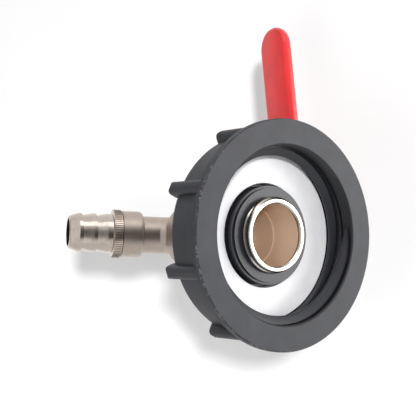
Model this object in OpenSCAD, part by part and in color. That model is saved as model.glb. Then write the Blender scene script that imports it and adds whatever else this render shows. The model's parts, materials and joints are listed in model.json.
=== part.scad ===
// Tank adapter: a screw cap for a coarse tank thread carrying a quarter-turn ball tap with a hose nozzle.
// The origin is the centre of the cap's mouth. The tank side is -Y, the tap reaches out along +Y,
// the stem points along +X and the lever stands up along +Z.

/* [Cap] */
// Outside diameter of the flange round the mouth
flange_d = 79; // [75:0.2:84]
// Thickness of the flange
flange_t = 3; // [2:0.1:4.5]
// Diameter of the plain entry at the mouth
mouth_d = 61; // [60.6:0.1:63]
// Depth of the plain entry
mouth_depth = 5; // [3:0.1:5.4]
// Chamfer on the mouth's edge
mouth_chamfer = 0.5; // [0.2:0.1:1]
// Wall diameter behind the entry, where the tank thread has its roots
thread_wall_d = 60; // [59.8:0.1:60.4]
// Outside diameter of the cap just behind the flange
cap_front_d = 71.4; // [68:0.2:72]
// Outside diameter of the cap at its back
cap_back_d = 70.2; // [67:0.2:71]
// Rounding of the cap's back edge
cap_edge = 1.4; // [0.5:0.1:2]
// Thickness of the cap's floor
cap_floor_t = 3.4; // [2.6:0.1:5]
// Diameter of the hub that takes the tap's thread
hub_d = 34.2; // [32:0.2:36]
// Depth of the hub's face behind the mouth
hub_depth = 9; // [8.6:0.1:11]
// Chamfer on the hub's rim
hub_chamfer = 0.8; // [0.3:0.1:1.2]
// Number of grip lugs
lug_count = 8; // [6:1:12]
// Width of a lug
lug_w = 4.6; // [4.4:0.1:7]
// Radius to the top of a lug
lug_reach = 38.4; // [37.4:0.1:39.2]
// Length by which a lug overhangs the cap's back
lug_overhang = 1.2; // [0.6:0.1:5]
// Rounding of a lug's top edges along its length
lug_round = 2; // [0.5:0.1:2.1]
// Rounding at a lug's end
lug_end_round = 1; // [0.3:0.1:1.4]
// Height of a lug's end face
lug_end_h = 4; // [3:0.1:5]
// Turn of the first lug from the -X side towards +Z
lug_phase = 23; // [0:0.5:45]

/* [Washers] */
// Depth of the white washer's face behind the mouth
face_washer_depth = 12.2; // [11.6:0.1:13]
// Thickness of the white washer
face_washer_t = 4.2; // [3:0.1:6]
// Outside diameter of the white washer
face_washer_d = 59; // [57:0.2:59.4]
// Hole in the white washer
face_washer_hole_d = 36.4; // [36.2:0.1:40]
// Room round the white washer in the cap
face_washer_room = 0.5; // [0.2:0.1:1]
// Outside diameter of the gasket behind the cap
cap_gasket_d = 31; // [29:0.2:31.6]
// Thickness of the gasket behind the cap
cap_gasket_t = 2; // [1:0.1:3]
// Outside diameter of the ring between tail and body
tail_seal_d = 29; // [27:0.2:30]
// Thickness of the ring between tail and body
tail_seal_t = 1; // [0.5:0.1:2]

/* [Inlet tail] */
// Pitch diameter of the tap thread
tap_thread_d = 25.3; // [25:0.1:26]
// Length of thread standing proud of the hub
tail_proud = 3.25; // [2:0.05:3.4]
// Chamfer at the thread's start
tail_chamfer = 0.35; // [0.2:0.05:0.8]
// Bore at the inlet
tail_bore_d = 21.6; // [21:0.1:22.4]
// Length of the wide bore
tail_bore_len = 14; // [8:0.1:20]
// Bore behind the ledge
tail_inner_d = 20.8; // [19:0.1:20.9]
// Spanner size of the tail's hexagon
collar_af = 32; // [32:0.5:36]
// Thickness of the hexagon
collar_t = 5.5; // [4:0.1:8]
// Diameter of the plug that screws into the body
plug_d = 24; // [23.4:0.1:24.4]
// Thickness of the web behind the front seat
seat_web_t = 1.4; // [1:0.1:2]

/* [Ball and seats] */
// Diameter of the ball
ball_d = 20; // [19:0.1:20.4]
// Waterway through the ball
ball_bore_d = 11.6; // [9:0.1:12]
// Distance of the ball's centre behind the body's front face
ball_set = 12.7; // [12.2:0.1:15]
// Outside diameter of a seat ring
seat_d = 18.8; // [18.4:0.1:19.2]
// Hole in a seat ring
seat_bore_d = 12.4; // [12.1:0.1:13]
// Width across a seat's cup
seat_cup_d = 17.1; // [16:0.1:17.6]
// Thickness left behind a seat's cup
seat_lip_t = 0.9; // [0.6:0.1:1.4]
// Width of the ball's slot
slot_w = 3.2; // [2.6:0.1:4]
// Depth of the ball's slot
slot_depth = 2.7; // [2:0.1:3]

/* [Valve body] */
// Diameter of the socket end of the body
body_front_d = 30.4; // [29.4:0.2:32]
// Length of the socket end
body_front_len = 9.4; // [8.4:0.1:11]
// Length of the taper behind the socket end
body_taper_len = 2; // [1:0.1:4]
// Diameter of the body round the ball
body_d = 25.6; // [25:0.2:27]
// Distance from the ball's centre to the body's rear face
body_rear_len = 14.9; // [12:0.1:15.5]
// Length of each of the two turned steps at the rear
rear_step_len = 1.3; // [0.6:0.1:1.6]
// Height of each turned step
rear_step_h = 0.45; // [0.2:0.05:0.6]
// Clearance of the ball in its chamber
chamber_gap = 0.5; // [0.3:0.1:0.8]
// Diameter of the stem boss
boss_d = 18; // [17:0.2:20]
// Height of the stem boss above the ball's centre
boss_h = 22.6; // [22:0.1:25]
// Diameter of the collar that stops the lever
stop_collar_d = 25; // [24.4:0.2:27]
// Thickness of the stop collar
stop_collar_t = 3; // [2:0.1:4]

/* [Stem] */
// Diameter of the stem
stem_d = 7; // [6.6:0.1:7.6]
// Diameter of the stem's head inside the body
stem_head_d = 10.4; // [9.6:0.1:10.8]
// Thickness of the stem's head
stem_head_t = 1.6; // [1.2:0.1:2]
// Height of the head above the ball's centre
stem_head_x = 10.8; // [10.7:0.1:11.4]
// Thickness of the thrust washer
thrust_t = 1; // [0.6:0.1:1.4]
// Thickness of the body between thrust washer and packing
stem_web_t = 2; // [1.4:0.1:2.6]
// Diameter of the packing
packing_d = 11.2; // [10.4:0.1:12]
// Thickness of one packing ring
packing_t = 2; // [1.4:0.1:2.2]
// Number of packing rings
packing_count = 2; // [1:1:2]
// Thread diameter of the gland nut
gland_d = 12.8; // [12.4:0.1:13.4]
// Length of the gland nut's thread
gland_len = 3.8; // [3.6:0.1:5]
// Spanner size of the gland nut
gland_af = 15; // [14:0.5:17]
// Height of the gland nut's hexagon
gland_hex_t = 4; // [3:0.1:5]
// Width across the stem's flats
stem_flat = 5.2; // [4.6:0.1:5.6]
// Thread diameter of the stem's end
stem_thread_d = 5.9; // [5.6:0.1:6.1]
// Length of thread above the nut
stem_tip = 1; // [0.5:0.1:2]

/* [Lever] */
// Turn of the lever from across the pipe, as it stands
lever_turn = 10; // [0:0.5:14]
// Quarter turn of the lever between its stops
lever_swing = 90; // [80:1:95]
// Thickness of the steel strip
lever_t = 2.5; // [2:0.1:3]
// Width of the steel strip
lever_w = 11.6; // [10:0.2:12]
// Radius of the lever's round end
lever_eye_r = 8.6; // [7.5:0.1:9.4]
// Distance from the stem to the start of the crank
crank_start = 10.5; // [9:0.5:14]
// Distance from the stem to the end of the crank
crank_end = 22; // [18:0.5:26]
// Rise of the lever over its crank
crank_rise = 11.4; // [6:0.2:14]
// Distance from the stem to the tip of the grip
lever_reach = 88; // [60:0.2:110]
// Width of the stop tab
stop_tab_w = 5; // [4:0.1:6]
// Distance from the stem to the stop tab's inner face
stop_tab_r = 9.7; // [9.4:0.1:10]
// Distance from the stem to the start of the grip
grip_start = 27; // [24:0.5:40]
// Width of the red grip
grip_w = 15.2; // [13.4:0.1:17]
// Thickness of the red grip
grip_t = 4.6; // [3.8:0.1:6]
// Rounding of the grip's edges
grip_round = 1.9; // [1:0.1:1.9]
// Spanner size of the lever nut
nut_af = 10; // [9:0.5:11]
// Height of the lever nut
nut_t = 5; // [4:0.1:6]
// Outside diameter of the split lock washer
lock_washer_d = 10; // [9:0.1:11]
// Thickness of the split lock washer
lock_washer_t = 1.4; // [1:0.1:2]
// Width of the split in the lock washer
lock_washer_split = 1; // [0.4:0.1:2]

/* [Spout] */
// Angle by which the spout turns away from the inlet axis
spout_bend = 67; // [50:1:90]
// Distance of the bend behind the body's rear face
elbow_set = 1.1; // [0.8:0.1:5]
// Diameter of the spout's neck
neck_d = 13.8; // [13:0.1:15]
// Distance from the bend to the end of the cast web in its corner
web_at = 12.2; // [10:0.1:14]
// Turn of the web's back from the neck
web_turn = 22; // [10:1:30]
// Diameter of the waterway in the spout
spout_bore_d = 9.6; // [8:0.1:10]
// Distance from the bend to the shoulder of the spout's socket
shoulder_at = 18.1; // [15:0.1:24]
// Diameter of the spout's socket
sleeve_d = 17.2; // [16.6:0.1:19]
// Length of the spout's socket
sleeve_len = 7.9; // [7:0.1:9]
// Rounding of the socket's shoulder
shoulder_round = 1.5; // [0.5:0.1:1.5]

/* [Nozzle] */
// Diameter over the nozzle's screw thread
nozzle_thread_d = 13.1; // [12.8:0.1:13.4]
// Length of the nozzle's screw thread
nozzle_thread_len = 5.6; // [3.6:0.1:6.4]
// Clearance left behind the nozzle's collar
collar_gap = 0.3; // [0.2:0.05:0.6]
// Thickness of the nozzle's sealing ring
o_ring_t = 1.4; // [1:0.1:1.6]
// Diameter of the knurled collar, without its teeth
knurl_d = 17.3; // [16:0.1:19]
// Length of the knurled collar
knurl_len = 3; // [2:0.1:6]
// Length of the chamfer on the collar
collar_chamfer = 0.4; // [0.3:0.1:1]
// Diameter of the plain land behind the barbs
land_d = 14.7; // [14:0.1:16]
// Length of the plain land
land_len = 1.9; // [1.5:0.1:6]
// Length of the taper from the land down to the first barb's root
land_taper = 3.8; // [2:0.1:6]
// Diameter over a barb's crest
barb_d = 14.6; // [13.6:0.1:14.6]
// Diameter at a barb's root
barb_root_d = 12.9; // [12.4:0.1:13.4]
// Distance from one barb to the next
barb_pitch = 5.3; // [4:0.1:8]
// Number of barbs past the land
barb_count = 2; // [1:1:4]
// Width of a barb's crest
barb_crest = 1.1; // [0.3:0.1:1.4]
// Length from the last barb's step to the mouth of the nozzle
tip_len = 4.9; // [3:0.1:7]
// Diameter at the mouth of the nozzle
tip_d = 11.8; // [11.6:0.1:12.6]
// Waterway in the nozzle
nozzle_bore_d = 10.3; // [9:0.1:10.8]

/* [Hidden] */
$fn = 96;

// Clearances
thread_gap = 0.12;
running_gap = 0.1;
fit_gap = 0.05;
stop_gap = 0.35;
cut = 1;

// Places along the inlet axis, measured from the mouth
floor_y = face_washer_depth + face_washer_t;
cap_back_y = floor_y + cap_floor_t;
washer_seat_r = max(thread_wall_d / 2, face_washer_d / 2 + face_washer_room);
washer_seat_y = face_washer_depth - face_washer_room;
tail_end_y = hub_depth - tail_proud;
collar_y = cap_back_y + cap_gasket_t;
seal_y = collar_y + collar_t;
body_front_y = seal_y + tail_seal_t;
ball_y = body_front_y + ball_set;
body_rear_y = ball_y + body_rear_len;
elbow_y = body_rear_y + elbow_set;

// Distances of the seats from the ball's centre
ball_r = ball_d / 2;
seat_face = sqrt(pow(ball_r, 2) - pow(seat_cup_d / 2, 2));
seat_back = sqrt(pow(ball_r, 2) - pow(seat_bore_d / 2, 2)) + seat_lip_t;
plug_end_y = ball_y - seat_face - stop_gap / 2;
chamber_r = ball_r + chamber_gap;
socket_end_y = plug_end_y + stop_gap;

// Heights along the stem, measured from the ball's centre
slot_x = ball_r - slot_depth;
thrust_x = stem_head_x + stem_head_t;
web_x = thrust_x + thrust_t;
packing_x = web_x + stem_web_t;
gland_x = packing_x + packing_count * packing_t;
gland_hex_x = gland_x + gland_len;
lever_x = gland_hex_x + gland_hex_t + stop_gap;
lock_washer_x = lever_x + lever_t;
nut_x = lock_washer_x + lock_washer_t;
stem_end_x = nut_x + nut_t + stem_tip;
grip_x = lever_x + lever_t / 2 + crank_rise;

// Places along the spout, measured from the bend
sleeve_end = shoulder_at + sleeve_len;
collar_at = sleeve_end + collar_gap;
stub_at = collar_at - nozzle_thread_len;
land_at = collar_at + knurl_len + collar_chamfer;
barbs_at = land_at + land_len + land_taper;
tip_at = barbs_at + (barb_count - 1) * barb_pitch + tip_len;
o_ring_r = nozzle_thread_d / 2 - o_ring_t / 10;
o_ring_at = collar_at - running_gap - o_ring_t / 2;

// Puts a shape drawn along +Z onto the inlet axis
module along_inlet(y = 0) {
    translate([0, y, 0]) rotate([-90, 0, 0]) children();
}

// Puts a shape drawn along +Z onto the stem's axis
module along_stem(x = 0) {
    translate([x, ball_y, 0]) rotate([0, 90, 0]) children();
}

// Puts a shape drawn along +Z onto the spout's axis
module along_spout(t = 0) {
    translate([0, elbow_y, 0]) rotate([0, 0, spout_bend]) along_inlet(t) children();
}

// Turns what moves with the lever to the angle it stands at
module at_lever_turn(turn = lever_turn) {
    translate([0, ball_y, 0]) rotate([-turn, 0, 0]) children();
}

module ring(outer_d, inner_d, height) {
    difference() {
        cylinder(d = outer_d, h = height);
        translate([0, 0, -cut]) cylinder(d = inner_d, h = height + 2 * cut);
    }
}

// Hexagon with its corners turned off on the side of its top face
module hexagon(across_flats, height) {
    corner_r = across_flats / 2 / cos(30);
    intersection() {
        cylinder(r = corner_r, h = height, $fn = 6);
        cylinder(r1 = corner_r + height, r2 = across_flats / 2 * 1.02, h = height);
    }
}

// Cap

// A lug seen from its side: it runs back from the flange, overhangs the cap's back and slopes in under itself
module lug_side() {
    root_r = cap_back_d / 2 - cap_edge - 1;
    back = cap_back_y + lug_overhang;
    difference() {
        polygon([[root_r, flange_t - 0.5], [lug_reach, flange_t - 0.5], [lug_reach, back],
                 [lug_reach - lug_end_h, back], [root_r, cap_back_y - 0.4]]);
        translate([lug_reach - lug_end_round, back - lug_end_round]) difference() {
            square(lug_end_round + cut);
            circle(r = lug_end_round);
        }
    }
}

// A lug's cross section, with its two top edges rounded
module lug_section() {
    translate([0, -lug_w / 2]) square([lug_reach - lug_round, lug_w]);
    translate([0, lug_round - lug_w / 2]) square([lug_reach, lug_w - 2 * lug_round]);
    for (side = [-1, 1])
        translate([lug_reach - lug_round, side * (lug_w / 2 - lug_round)]) circle(r = lug_round);
}

module lug() {
    intersection() {
        rotate([90, 0, 0]) translate([0, 0, -lug_w]) linear_extrude(2 * lug_w) lug_side();
        linear_extrude(cap_back_y + lug_overhang + cut) lug_section();
    }
}

module cap_shell() {
    rotate_extrude() polygon([
        [mouth_d / 2, mouth_chamfer], [mouth_d / 2 + mouth_chamfer, 0], [flange_d / 2 - 0.4, 0], [flange_d / 2, 0.4], [flange_d / 2, flange_t - 0.4],
        [flange_d / 2 - 0.4, flange_t], [cap_front_d / 2, flange_t], [cap_back_d / 2, cap_back_y - cap_edge],
        [cap_back_d / 2 - cap_edge * 0.3, cap_back_y - cap_edge * 0.3],
        [cap_back_d / 2 - cap_edge, cap_back_y], [tap_thread_d / 2 + thread_gap, cap_back_y],
        [tap_thread_d / 2 + thread_gap, hub_depth], [hub_d / 2 - hub_chamfer, hub_depth],
        [hub_d / 2 - hub_chamfer, hub_depth + hub_chamfer], [hub_d / 2, hub_depth + hub_chamfer],
        [hub_d / 2, floor_y], [washer_seat_r, floor_y], [washer_seat_r, washer_seat_y],
        [thread_wall_d / 2, washer_seat_y], [thread_wall_d / 2, mouth_depth],
        [mouth_d / 2, mouth_depth]]);
}

module cap() {
    color("#2b2c30") along_inlet() {
        cap_shell();
        for (i = [0 : lug_count - 1])
            rotate([0, 0, 180 + lug_phase + i * 360 / lug_count]) difference() {
                lug();
                translate([0, 0, -cut]) cylinder(d1 = cap_front_d - 2, d2 = cap_back_d - 2, h = cap_back_y + cut - 1);
            }
    }
}

module face_washer() {
    color("#f2f2f4") along_inlet(face_washer_depth) ring(face_washer_d, face_washer_hole_d, face_washer_t);
}

module cap_gasket() {
    color("#232323") along_inlet(cap_back_y) ring(cap_gasket_d, tap_thread_d + 2 * thread_gap, cap_gasket_t);
}

// Tap

module tail_solid() {
    thread_len = collar_y - tail_end_y;
    along_inlet(tail_end_y) {
        cylinder(d1 = tap_thread_d - 2 * tail_chamfer, d2 = tap_thread_d, h = tail_chamfer);
        translate([0, 0, tail_chamfer]) cylinder(d = tap_thread_d, h = thread_len - tail_chamfer + 0.5);
    }
    along_inlet(collar_y) hexagon(collar_af, collar_t);
    along_inlet(seal_y - 0.5) cylinder(d = plug_d, h = plug_end_y - seal_y + 0.5);
}

module inlet_tail() {
    web_y = ball_y - seat_back - seat_web_t;
    color("#b9aca3") difference() {
        tail_solid();
        along_inlet(tail_end_y - cut) cylinder(d = tail_bore_d, h = tail_bore_len + cut);
        along_inlet(tail_end_y - 0.01) cylinder(d1 = tail_bore_d + 1.1, d2 = tail_bore_d, h = 0.55);
        along_inlet(tail_end_y) cylinder(d = tail_inner_d, h = web_y - tail_end_y);
        along_inlet(tail_end_y) cylinder(d = seat_bore_d, h = plug_end_y);
        along_inlet(ball_y - seat_back) cylinder(d = seat_d + 2 * fit_gap, h = seat_back);
    }
}

module tail_seal() {
    color("#e8e4da") along_inlet(seal_y) ring(tail_seal_d, plug_d + 2 * thread_gap, tail_seal_t);
}

module body_turned() {
    front_len = body_front_len + body_taper_len;
    step_y = body_rear_y - 2 * rear_step_len;
    along_inlet() rotate_extrude() polygon([
        [0, body_front_y], [body_front_d / 2 - 0.6, body_front_y], [body_front_d / 2, body_front_y + 0.6],
        [body_front_d / 2, body_front_y + body_front_len], [body_d / 2, body_front_y + front_len],
        [body_d / 2, step_y], [body_d / 2 - rear_step_h, step_y],
        [body_d / 2 - rear_step_h, step_y + rear_step_len],
        [body_d / 2 - 2 * rear_step_h, step_y + rear_step_len],
        [body_d / 2 - 2 * rear_step_h, body_rear_y - 0.4], [body_d / 2 - 2 * rear_step_h - 0.4, body_rear_y],
        [0, body_rear_y]]);
}

// Cast spout: the bend, the web in its corner, its neck and the socket with its rounded shoulder
module spout_solid() {
    translate([0, elbow_y, 0]) sphere(d = neck_d + 0.8);
    along_inlet(body_rear_y - cut) cylinder(d = neck_d + 0.8, h = elbow_set + cut);
    along_spout(web_at) translate([-neck_d / 2, 0, 0]) rotate([0, web_turn, 0])
        translate([neck_d / 2 - 0.5, 0, -web_at + 2]) cylinder(d = neck_d - 1, h = web_at);
    along_spout() {
        cylinder(d = neck_d, h = shoulder_at + cut);
        translate([0, 0, shoulder_at]) rotate_extrude() {
            square([sleeve_d / 2 - shoulder_round, sleeve_len]);
            translate([0, shoulder_round]) square([sleeve_d / 2, sleeve_len - shoulder_round]);
            translate([sleeve_d / 2 - shoulder_round, shoulder_round]) circle(r = shoulder_round);
        }
    }
}

// Gap in the stop collar that the lever's tab swings through, as wide as the tab at each end
module stop_gap_cut() {
    tab_room = stop_tab_w + 2 * stop_gap;
    outer = stop_collar_d / 2 + cut;
    inner = stop_tab_r - stop_gap;
    along_stem(boss_h - stop_collar_t - cut) {
        for (turn = [0, lever_swing])
            rotate([0, 0, -turn]) translate([inner, -tab_room / 2, 0])
                cube([outer - inner, tab_room, stop_collar_t + 2 * cut]);
        rotate([0, 0, -lever_swing]) rotate_extrude(angle = lever_swing)
            translate([inner, 0]) square([outer - inner, stop_collar_t + 2 * cut]);
    }
}

module boss_solid() {
    along_stem() cylinder(d = boss_d, h = boss_h);
    difference() {
        along_stem(boss_h - stop_collar_t) cylinder(d = stop_collar_d, h = stop_collar_t);
        stop_gap_cut();
    }
}

module valve_body() {
    color("#b9aca3") difference() {
        union() {
            body_turned();
            spout_solid();
            boss_solid();
        }
        along_inlet(body_front_y - cut) cylinder(d = plug_d + 2 * thread_gap, h = socket_end_y - body_front_y + cut);
        along_inlet(body_front_y) cylinder(r = chamber_r, h = ball_y + seat_face + stop_gap / 2 - body_front_y);
        along_inlet(ball_y) cylinder(d = seat_d + 2 * fit_gap, h = seat_back);
        along_inlet(ball_y) cylinder(d = ball_bore_d, h = elbow_y - ball_y);
        translate([0, elbow_y, 0]) sphere(d = ball_bore_d);
        along_spout() cylinder(d = spout_bore_d, h = sleeve_end + cut);
        along_spout(stub_at - stop_gap) cylinder(d = nozzle_thread_d + 2 * thread_gap, h = sleeve_len + cut);
        along_spout(o_ring_at - o_ring_t / 2 - running_gap)
            cylinder(r = o_ring_r + o_ring_t / 2 + running_gap, h = o_ring_t + cut);
        along_stem() cylinder(d = stem_head_d + 2 * running_gap, h = web_x);
        along_stem() cylinder(d = stem_d + 2 * running_gap, h = boss_h + cut);
        along_stem(packing_x) cylinder(d = packing_d + 2 * fit_gap, h = boss_h);
        along_stem(gland_x) cylinder(d = gland_d + 2 * thread_gap, h = boss_h);
    }
}

// Seat ring drawn with its cup towards +Z, its back at the origin
module seat_ring() {
    difference() {
        ring(seat_d, seat_bore_d, seat_back - seat_face);
        translate([0, 0, seat_back]) sphere(d = ball_d + 2 * running_gap);
    }
}

module front_seat() {
    color("#f0efe9") along_inlet(ball_y - seat_back) seat_ring();
}

module rear_seat() {
    color("#f0efe9") along_inlet(ball_y + seat_back) mirror([0, 0, 1]) seat_ring();
}

// The ball's waterway lies along the lever when the tap is shut; the slot crosses it
module ball() {
    color("#d5d6d8") at_lever_turn() difference() {
        sphere(d = ball_d);
        cylinder(d = ball_bore_d, h = 2 * ball_d, center = true);
        translate([slot_x + ball_d / 2, 0, 0]) cube([ball_d, 2 * ball_d, slot_w], center = true);
    }
}

// Stem, drawn from the ball's centre outwards
module stem() {
    tang_gap = 2 * running_gap;
    color("#c8a765") {
        at_lever_turn() intersection() {
            rotate([0, 90, 0]) cylinder(d = stem_head_d - 0.6, h = stem_head_x + 0.5);
            translate([slot_x + tang_gap + ball_d / 2, 0, 0])
                cube([ball_d, 2 * ball_d, slot_w - tang_gap], center = true);
        }
        along_stem(stem_head_x) cylinder(d = stem_head_d, h = stem_head_t);
        difference() {
            along_stem(stem_head_x) cylinder(d = stem_d, h = lock_washer_x - fit_gap - stem_head_x);
            at_lever_turn() for (side = [-1, 1])
                translate([lever_x + lever_t, 0, side * (stem_flat + stem_d) / 2])
                    cube([2 * lever_t, 2 * stem_d, stem_d], center = true);
        }
        along_stem(lever_x - cut) cylinder(d = stem_flat - fit_gap, h = lever_t + 2 * cut);
        along_stem(lock_washer_x) cylinder(d = stem_thread_d, h = stem_end_x - lock_washer_x - 0.6);
        along_stem(stem_end_x - 0.6) cylinder(d1 = stem_thread_d, d2 = stem_thread_d - 1.2, h = 0.6);
    }
}

module stem_thrust_washer() {
    color("#f0efe9") along_stem(thrust_x) ring(stem_head_d, stem_d + 2 * running_gap, thrust_t);
}

module stem_packing() {
    color("#f0efe9") for (i = [0 : packing_count - 1])
        along_stem(packing_x + i * packing_t) ring(packing_d, stem_d + 2 * running_gap, packing_t - fit_gap);
}

module gland_nut() {
    color("#b9aca3") difference() {
        union() {
            along_stem(gland_x) cylinder(d = gland_d, h = gland_len + cut);
            along_stem(gland_hex_x) hexagon(gland_af, gland_hex_t);
        }
        along_stem(gland_x - cut) cylinder(d = stem_d + 2 * running_gap, h = gland_len + gland_hex_t + 2 * cut);
    }
}

// Lever

// Frame of the lever: x along it from the stem, y away from the body, z across it
module lever_frame() {
    at_lever_turn() rotate([90, -90, 180]) children();
}

module bar_2d(from, to, thickness) {
    run = to - from;
    translate(from) rotate(atan2(run.y, run.x)) translate([0, -thickness / 2]) square([norm(run), thickness]);
}

// The strip seen from its side: flat at the stem, cranked out, then flat again
module strip_side(end) {
    low = lever_x + lever_t / 2;
    bend_in = [crank_start, low];
    bend_out = [crank_end, grip_x];
    bar_2d([-lever_eye_r - lever_t, low], bend_in, lever_t);
    bar_2d(bend_in, bend_out, lever_t);
    bar_2d(bend_out, [end, grip_x], lever_t);
    for (bend = [bend_in, bend_out])
        translate(bend) circle(d = lever_t);
}

// The strip seen from above: an eye round the stem and a straight blade with a round end
module strip_plan(end, width) {
    circle(r = lever_eye_r);
    translate([0, -width / 2]) square([end - width / 2, width]);
    translate([end - width / 2, 0]) circle(d = width);
}

module lever() {
    strip_end = lever_reach - 3;
    tab_low = boss_h - stop_collar_t + stop_gap;
    color("#a9abae") difference() {
        lever_frame() {
            intersection() {
                translate([0, 0, -20]) linear_extrude(40) strip_side(strip_end);
                rotate([90, 0, 0]) translate([0, 0, -100]) linear_extrude(200) strip_plan(strip_end, lever_w);
            }
            translate([-stop_tab_r - lever_t, tab_low, -stop_tab_w / 2])
                cube([lever_t, lever_x + lever_t - tab_low, stop_tab_w]);
            translate([-stop_tab_r - lever_t, lever_x, -stop_tab_w / 2]) cube([lever_t + 3, lever_t, stop_tab_w]);
        }
        at_lever_turn() intersection() {
            translate([lever_x - cut, 0, 0]) rotate([0, 90, 0])
                cylinder(d = stem_d + 2 * fit_gap, h = lever_t + 2 * cut);
            translate([lever_x, 0, 0]) cube([4 * lever_t, 2 * stem_d, stem_flat + 2 * fit_gap], center = true);
        }
    }
}

module grip_section() {
    for (side = [-1, 1], face = [-1, 1])
        translate([side * (grip_w / 2 - grip_round), face * (grip_t / 2 - grip_round)]) circle(r = grip_round);
    square([grip_w, grip_t - 2 * grip_round], center = true);
    square([grip_w - 2 * grip_round, grip_t], center = true);
}

module lever_grip() {
    strip_end = lever_reach - 3;
    color("#e0413f") lever_frame() difference() {
        intersection() {
            translate([grip_start, grip_x, 0]) rotate([0, 90, 0])
                linear_extrude(lever_reach - grip_start) grip_section();
            rotate([90, 0, 0]) translate([0, 0, -100]) linear_extrude(200) {
                translate([grip_start, -grip_w / 2]) square([lever_reach - grip_start - grip_w / 2, grip_w]);
                translate([lever_reach - grip_w / 2, 0]) circle(d = grip_w);
            }
        }
        intersection() {
            translate([0, 0, -20]) linear_extrude(40)
                bar_2d([grip_start - cut, grip_x], [strip_end + fit_gap, grip_x], lever_t + 2 * fit_gap);
            rotate([90, 0, 0]) translate([0, 0, -100]) linear_extrude(200)
                strip_plan(strip_end + fit_gap, lever_w + 2 * fit_gap);
        }
    }
}

module lever_lock_washer() {
    color("#9b9da0") difference() {
        along_stem(lock_washer_x) ring(lock_washer_d, stem_thread_d + 2 * fit_gap, lock_washer_t);
        at_lever_turn() translate([lock_washer_x - cut, 0, -lock_washer_split / 2])
            cube([lock_washer_t + 2 * cut, lock_washer_d, lock_washer_split]);
    }
}

module lever_nut() {
    color("#a9abae") at_lever_turn() translate([nut_x, 0, 0]) rotate([0, 90, 0]) difference() {
        hexagon(nut_af, nut_t);
        translate([0, 0, -cut]) cylinder(d = stem_thread_d + 2 * fit_gap, h = nut_t + 2 * cut);
    }
}

// Nozzle

// One barb: a step up from its root at distance t from the bend, then its crest; the taper to the next follows
function barb_points(t) = [
    [barb_root_d / 2, t],
    [barb_d / 2, t + 0.2],
    [barb_d / 2, t + 0.2 + barb_crest]];

module nozzle() {
    land_r = land_d / 2;
    groove_r = o_ring_r - o_ring_t / 2 - running_gap;
    groove_at = o_ring_at - o_ring_t / 2 - running_gap;
    barbs = [for (i = [0 : barb_count - 1]) for (p = barb_points(barbs_at + i * barb_pitch)) p];
    color("#c4b8ae") along_spout() difference() {
        rotate_extrude() polygon(concat(
            [[0, stub_at], [nozzle_thread_d / 2 - 0.6, stub_at], [nozzle_thread_d / 2, stub_at + 0.6],
             [nozzle_thread_d / 2, groove_at], [groove_r, groove_at], [groove_r, collar_at],
             [knurl_d / 2, collar_at], [knurl_d / 2, collar_at + knurl_len],
             [(knurl_d / 2 + land_r) / 2, land_at - collar_chamfer / 3], [land_r, land_at],
             [land_r, land_at + land_len]],
            barbs,
            [[tip_d / 2 + 0.2, tip_at - 0.3], [tip_d / 2, tip_at], [0, tip_at]]));
        translate([0, 0, stub_at - cut]) cylinder(d = spout_bore_d, h = tip_at);
        translate([0, 0, collar_at + knurl_len]) cylinder(d = nozzle_bore_d, h = tip_at);
    }
}

module nozzle_o_ring() {
    color("#1d1d1d") along_spout(o_ring_at) rotate_extrude() translate([o_ring_r, 0]) circle(d = o_ring_t, $fn = 32);
}

cap();
face_washer();
cap_gasket();
inlet_tail();
tail_seal();
valve_body();
ball();
front_seat();
rear_seat();
stem();
stem_thrust_washer();
stem_packing();
gland_nut();
lever();
lever_grip();
lever_lock_washer();
lever_nut();
nozzle();
nozzle_o_ring();
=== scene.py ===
import bpy
import json
import math
from mathutils import Matrix, Vector


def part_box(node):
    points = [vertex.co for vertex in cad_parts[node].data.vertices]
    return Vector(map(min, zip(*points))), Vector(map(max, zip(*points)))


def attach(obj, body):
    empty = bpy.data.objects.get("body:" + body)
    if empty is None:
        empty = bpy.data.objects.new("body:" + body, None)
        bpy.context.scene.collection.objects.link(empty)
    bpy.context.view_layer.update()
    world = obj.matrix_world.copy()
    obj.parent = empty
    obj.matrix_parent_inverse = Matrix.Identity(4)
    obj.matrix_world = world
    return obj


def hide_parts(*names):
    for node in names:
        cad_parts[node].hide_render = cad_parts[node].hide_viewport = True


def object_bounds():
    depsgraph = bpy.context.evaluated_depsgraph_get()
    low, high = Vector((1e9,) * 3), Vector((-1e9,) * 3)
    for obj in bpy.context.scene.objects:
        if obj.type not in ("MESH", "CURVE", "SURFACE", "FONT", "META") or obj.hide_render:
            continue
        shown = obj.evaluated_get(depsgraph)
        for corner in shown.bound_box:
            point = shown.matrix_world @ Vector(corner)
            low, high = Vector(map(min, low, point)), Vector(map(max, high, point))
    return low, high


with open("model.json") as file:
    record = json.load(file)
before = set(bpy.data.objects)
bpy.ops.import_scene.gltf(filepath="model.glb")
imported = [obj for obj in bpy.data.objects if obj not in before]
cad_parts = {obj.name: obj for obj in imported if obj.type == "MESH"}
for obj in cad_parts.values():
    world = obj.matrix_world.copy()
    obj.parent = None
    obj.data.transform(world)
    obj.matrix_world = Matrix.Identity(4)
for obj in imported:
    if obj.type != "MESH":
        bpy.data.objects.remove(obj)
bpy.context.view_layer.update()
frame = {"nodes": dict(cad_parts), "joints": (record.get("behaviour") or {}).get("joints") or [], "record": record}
mm = 0.001
print("frame loaded")

# axes that the pieces are built on: the tap's waterway runs along Y and the stem along X
inletAxis = Vector((0, 1, 0))
stemAxis = Vector((1, 0, 0))
joints = {joint["name"]: joint for joint in frame["joints"]}
spoutAxis = Vector(joints["nozzle_turn"]["axis"]).normalized()
collarPoint = Vector(joints["nozzle_turn"]["pos_m"])
stemPoint = Vector(joints["lever_turn"]["pos_m"])
leverAngle = math.radians(-joints["lever_turn"]["range_deg"][0])
leverAxis = Vector((0, math.sin(leverAngle), math.cos(leverAngle)))

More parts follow.
